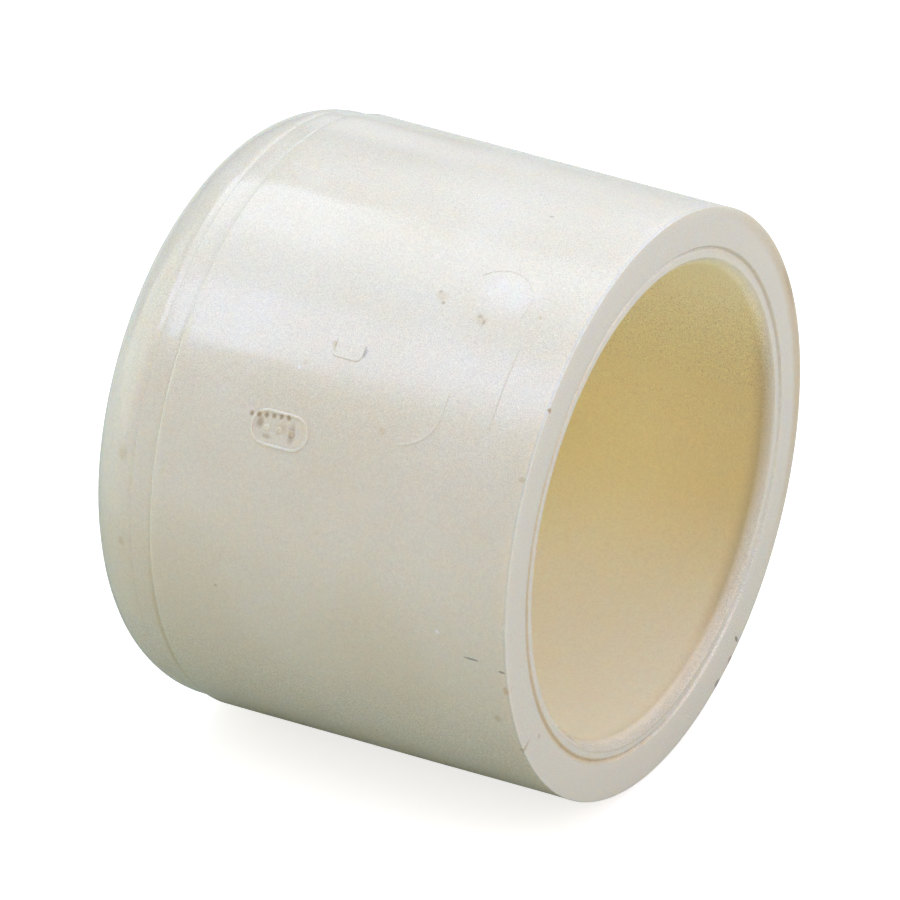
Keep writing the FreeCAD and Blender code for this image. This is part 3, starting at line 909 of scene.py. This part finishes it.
def pale_floor():
    """A plain floor that the cap lies on. What it shows in reflections fades in with the distance from
    the cap, a painted shadow round the cap.
    """
    bpy.ops.mesh.primitive_plane_add(size=FLOOR_SIZE, location=(0, 0, body_low.z))
    floor = bpy.context.object
    floor.name = "studio_floor"
    material = bpy.data.materials.new("pale_floor")
    material.use_nodes = True
    tree = material.node_tree
    surface = tree.nodes["Principled BSDF"]
    surface.inputs["Roughness"].default_value = 1.0
    surface.inputs["Specular IOR Level"].default_value = 0.0
    tone = seen_or_lit(tree, FLOOR_SEEN, FLOOR_LIT, FLOOR_LIT)
    plug(tree, surface.inputs["Base Color"], tone)
    here = tree.nodes.new("ShaderNodeTexCoord").outputs["Object"]
    from_middle = vector_maths(tree, "SUBTRACT", here, (-CAP_LENGTH / 2, 0, 0))
    away = vector_maths(tree, "LENGTH", from_middle)
    # Painted shadow: the floor's glow in reflections is black near the cap and fades in farther away.
    mirrored = tint(tree, fade(tree, away, SHADE_END / 3, SHADE_END), BLACK, FLOOR_MIRRORED)
    bright = seen_or_lit(tree, FLOOR_SEEN_GLOW, mirrored, BLACK)
    plug(tree, surface.inputs["Emission Color"], bright)
    surface.inputs["Emission Strength"].default_value = 1.0
    floor.data.materials.append(material)


def white_room():
    """White where the camera looks past the floor, pale in reflections, and nearly unlit."""
    world = bpy.data.worlds.new("white_room")
    world.use_nodes = True
    tree = world.node_tree
    background = tree.nodes["Background"]
    bright = seen_or_lit(tree, WHITE, ROOM_MIRRORED, ROOM_LIT)
    plug(tree, background.inputs["Color"], bright)
    bpy.context.scene.world = world


# Direction it shines from, distance, how far aside in its own plane, width and height, and
# power for each colour. The three windows make one large source with a darker bar in it.
WINDOW = ((-0.428, -0.049, 0.902), 0.30)
FAR = 0.40
LIGHTS = {
    "window_upper": (*WINDOW, (-0.086, -0.005), (0.128, 0.15), (0.165, 0.182, 0.208)),
    "window_bar": (*WINDOW, (0.0265, -0.015), (0.097, 0.15), (0.076, 0.088, 0.104)),
    "window_lower": (*WINDOW, (0.1415, -0.035), (0.133, 0.15), (0.170, 0.198, 0.292)),
    "back_top": ((0.1, 0.9, 0.9), FAR, (0, 0), (0.50, 0.30), (0.677, 0.712, 0.780)),
    "back": ((0.1, 1.0, 0.2), FAR, (0, 0), (0.60, 0.15), (0.150, 0.142, 0.128)),
    "left": ((-1.0, -0.3, 0.35), 0.35, (0, 0), (0.30, 0.30), (0.320, 0.318, 0.262)),
    "front_top": ((-0.2, -0.7, 0.8), FAR, (0, 0), (0.30, 0.20), (0.115, 0.126, 0.118)),
    "front": ((0.3, -1.0, 0.35), FAR, (0, 0), (0.40, 0.30), (0.410, 0.352, 0.280)),
    "right_top": ((0.8, -0.1, 0.8), FAR, (0, 0), (0.30, 0.25), (0.260, 0.262, 0.380)),
    "right_front": ((0.75, -0.65, 0.12), FAR, (0, 0), (0.25, 0.25), (0.255, 0.218, 0.256)),
    "right_back": ((1.0, 0.35, 0.3), FAR, (0, 0), (0.30, 0.25), (0.710, 0.603, 0.505)),
}


def soft_light(name, towards, distance, aside, size, power):
    """A soft rectangular light in a plane that faces the cap."""
    data = bpy.data.lights.new(name, "AREA")
    data.shape = "RECTANGLE"
    data.size, data.size_y = size
    data.energy = max(power)
    data.color = [share / max(power) for share in power]
    lamp = bpy.data.objects.new(name, data)
    bpy.context.scene.collection.objects.link(lamp)
    direction = Vector(towards).normalized()
    facing = direction.to_track_quat("Z", "Y")
    lamp.location = direction * distance + facing @ Vector((*aside, 0))
    lamp.rotation_euler = facing.to_euler()
    lamp.visible_camera = False
    return lamp


pale_floor()
white_room()
for name, settings in LIGHTS.items():
    soft_light(name, *settings)

VIEW_AZIMUTH = math.radians(29.85)
VIEW_ELEVATION = math.radians(28.47)
CAMERA_LENS = 348.0
CAMERA_DISTANCE = 394.9 * MM
AIM_LEFT = 9.401 * MM
AIM_UP = 2.512 * MM


def studio_camera():
    """A long lens that looks into the mouth from above and to the right."""
    back = Vector((
        math.sin(VIEW_AZIMUTH) * math.cos(VIEW_ELEVATION),
        -math.cos(VIEW_AZIMUTH) * math.cos(VIEW_ELEVATION),
        math.sin(VIEW_ELEVATION),
    ))
    right = Vector((math.cos(VIEW_AZIMUTH), math.sin(VIEW_AZIMUTH), 0))
    up = back.cross(right)
    data = bpy.data.cameras.new("studio_camera")
    data.lens = CAMERA_LENS
    data.clip_start = CAMERA_DISTANCE / 20
    data.clip_end = CAMERA_DISTANCE * 20
    camera = bpy.data.objects.new("studio_camera", data)
    bpy.context.scene.collection.objects.link(camera)
    camera.location = back * CAMERA_DISTANCE - right * AIM_LEFT + up * AIM_UP
    camera.rotation_euler = back.to_track_quat("Z", "Y").to_euler()
    bpy.context.scene.camera = camera


studio_camera()
bpy.context.scene.view_settings.view_transform = "Standard"
